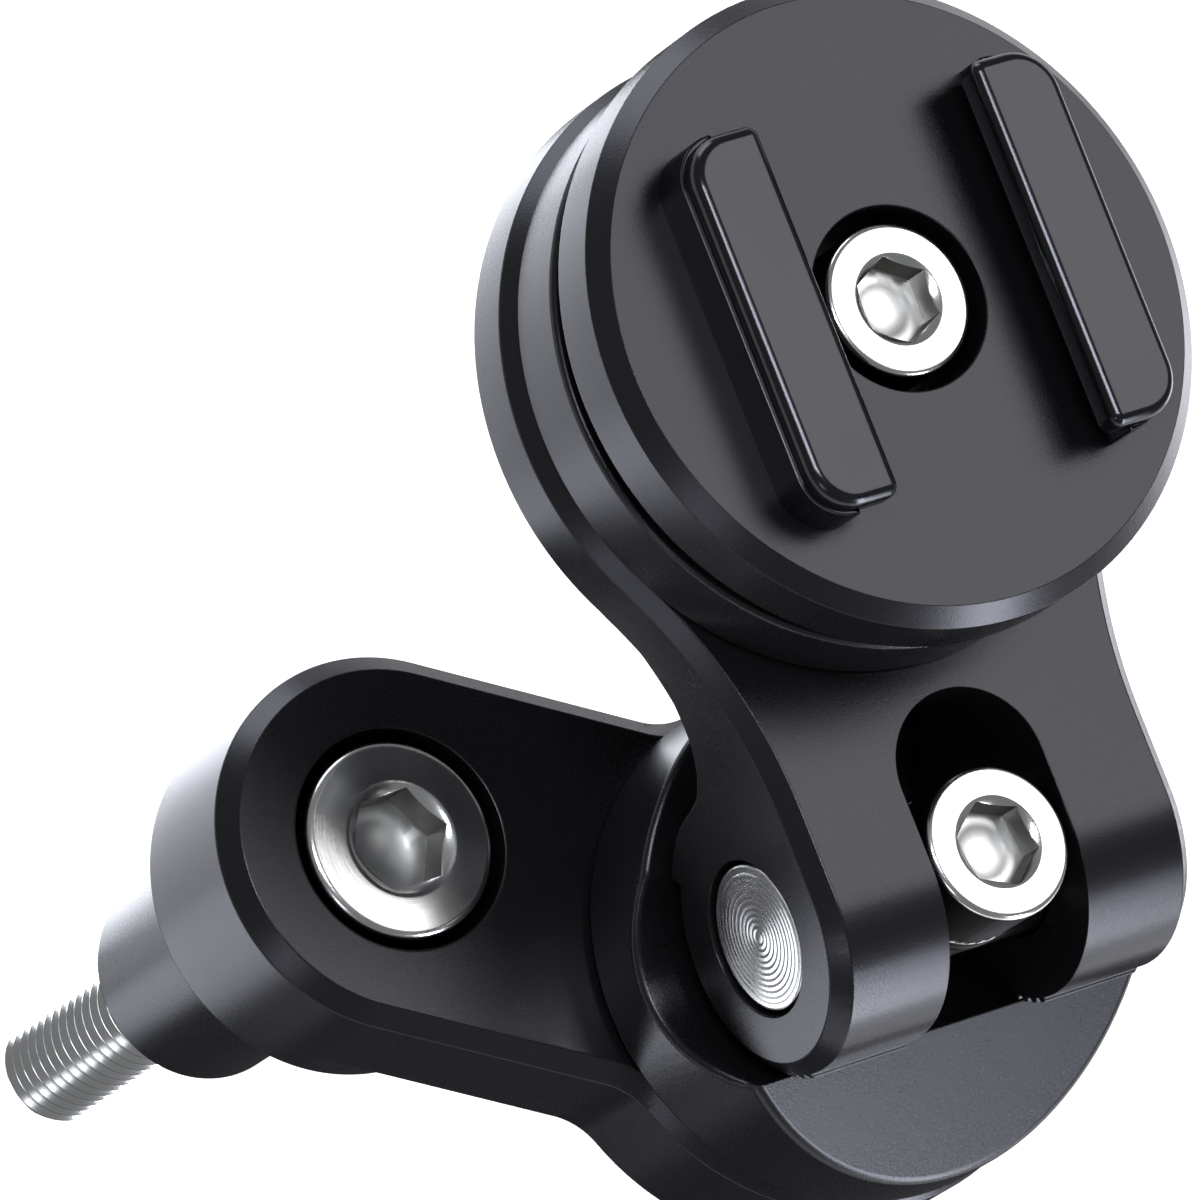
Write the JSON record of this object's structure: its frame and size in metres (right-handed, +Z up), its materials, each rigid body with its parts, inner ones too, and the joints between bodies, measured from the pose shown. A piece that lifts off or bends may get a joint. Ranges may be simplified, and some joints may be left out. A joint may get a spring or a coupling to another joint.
{
  "type": "phone mount",
  "caption": "Bolt-on phone mount: clamp bolt and spacer, short arm, swivel base, tilting slotted bracket and a round head with two hooked rails.",
  "frame": {"origin": "on the clamp bolt's axis, at the seat under the spacer, where the part rests on what holds it", "axes": "+Z up along the clamp bolt to its head, +X from the clamp bolt to the swivel axis, +Y to the side the head leans over"},
  "size_m": [0.0595, 0.0664, 0.0958],
  "materials": {
    "black_anodised": "satin black anodised, fine bead-blast grain",
    "polished_steel": "bright stainless, polished",
    "black_nylon": "matte black"
  },
  "bodies": {
    "stud": {"clamp_bolt": "polished_steel", "spacer_sleeve": "black_anodised"},
    "clamp_arm": {"arm": "black_anodised", "swivel_nut": "polished_steel"},
    "swivel": {"swivel_base": "black_anodised", "thrust_ring": "black_nylon", "hinge_pin": "polished_steel", "seat_washer": "polished_steel", "swivel_screw": "polished_steel"},
    "bracket": {"head_bracket": "black_anodised", "bracket_insert": "polished_steel", "index_disc": "black_anodised", "dowel_0": "polished_steel", "dowel_1": "polished_steel", "head_screw": "polished_steel"},
    "head": {"head_disc": "black_anodised", "friction_ring": "black_nylon"}
  },
  "joints": [
    {"name": "arm_swing", "type": "hinge", "parent": "stud", "child": "clamp_arm", "pos_m": [0, 0, 0.0271], "axis": [0, 0, 1], "continuous": true},
    {"name": "base_swivel", "type": "hinge", "parent": "clamp_arm", "child": "swivel", "pos_m": [0.03, 0, 0.0318], "axis": [0, 0, 1], "continuous": true},
    {"name": "head_tilt", "type": "hinge", "parent": "swivel", "child": "bracket", "pos_m": [0.03, 0, 0.0465], "axis": [0.8704, 0.4924, 0], "range_deg": [-15, 40]},
    {"name": "head_turn", "type": "hinge", "parent": "bracket", "child": "head", "pos_m": [0.01405, 0.0282, 0.0609], "axis": [0, 0, 1], "continuous": true}
  ]
}
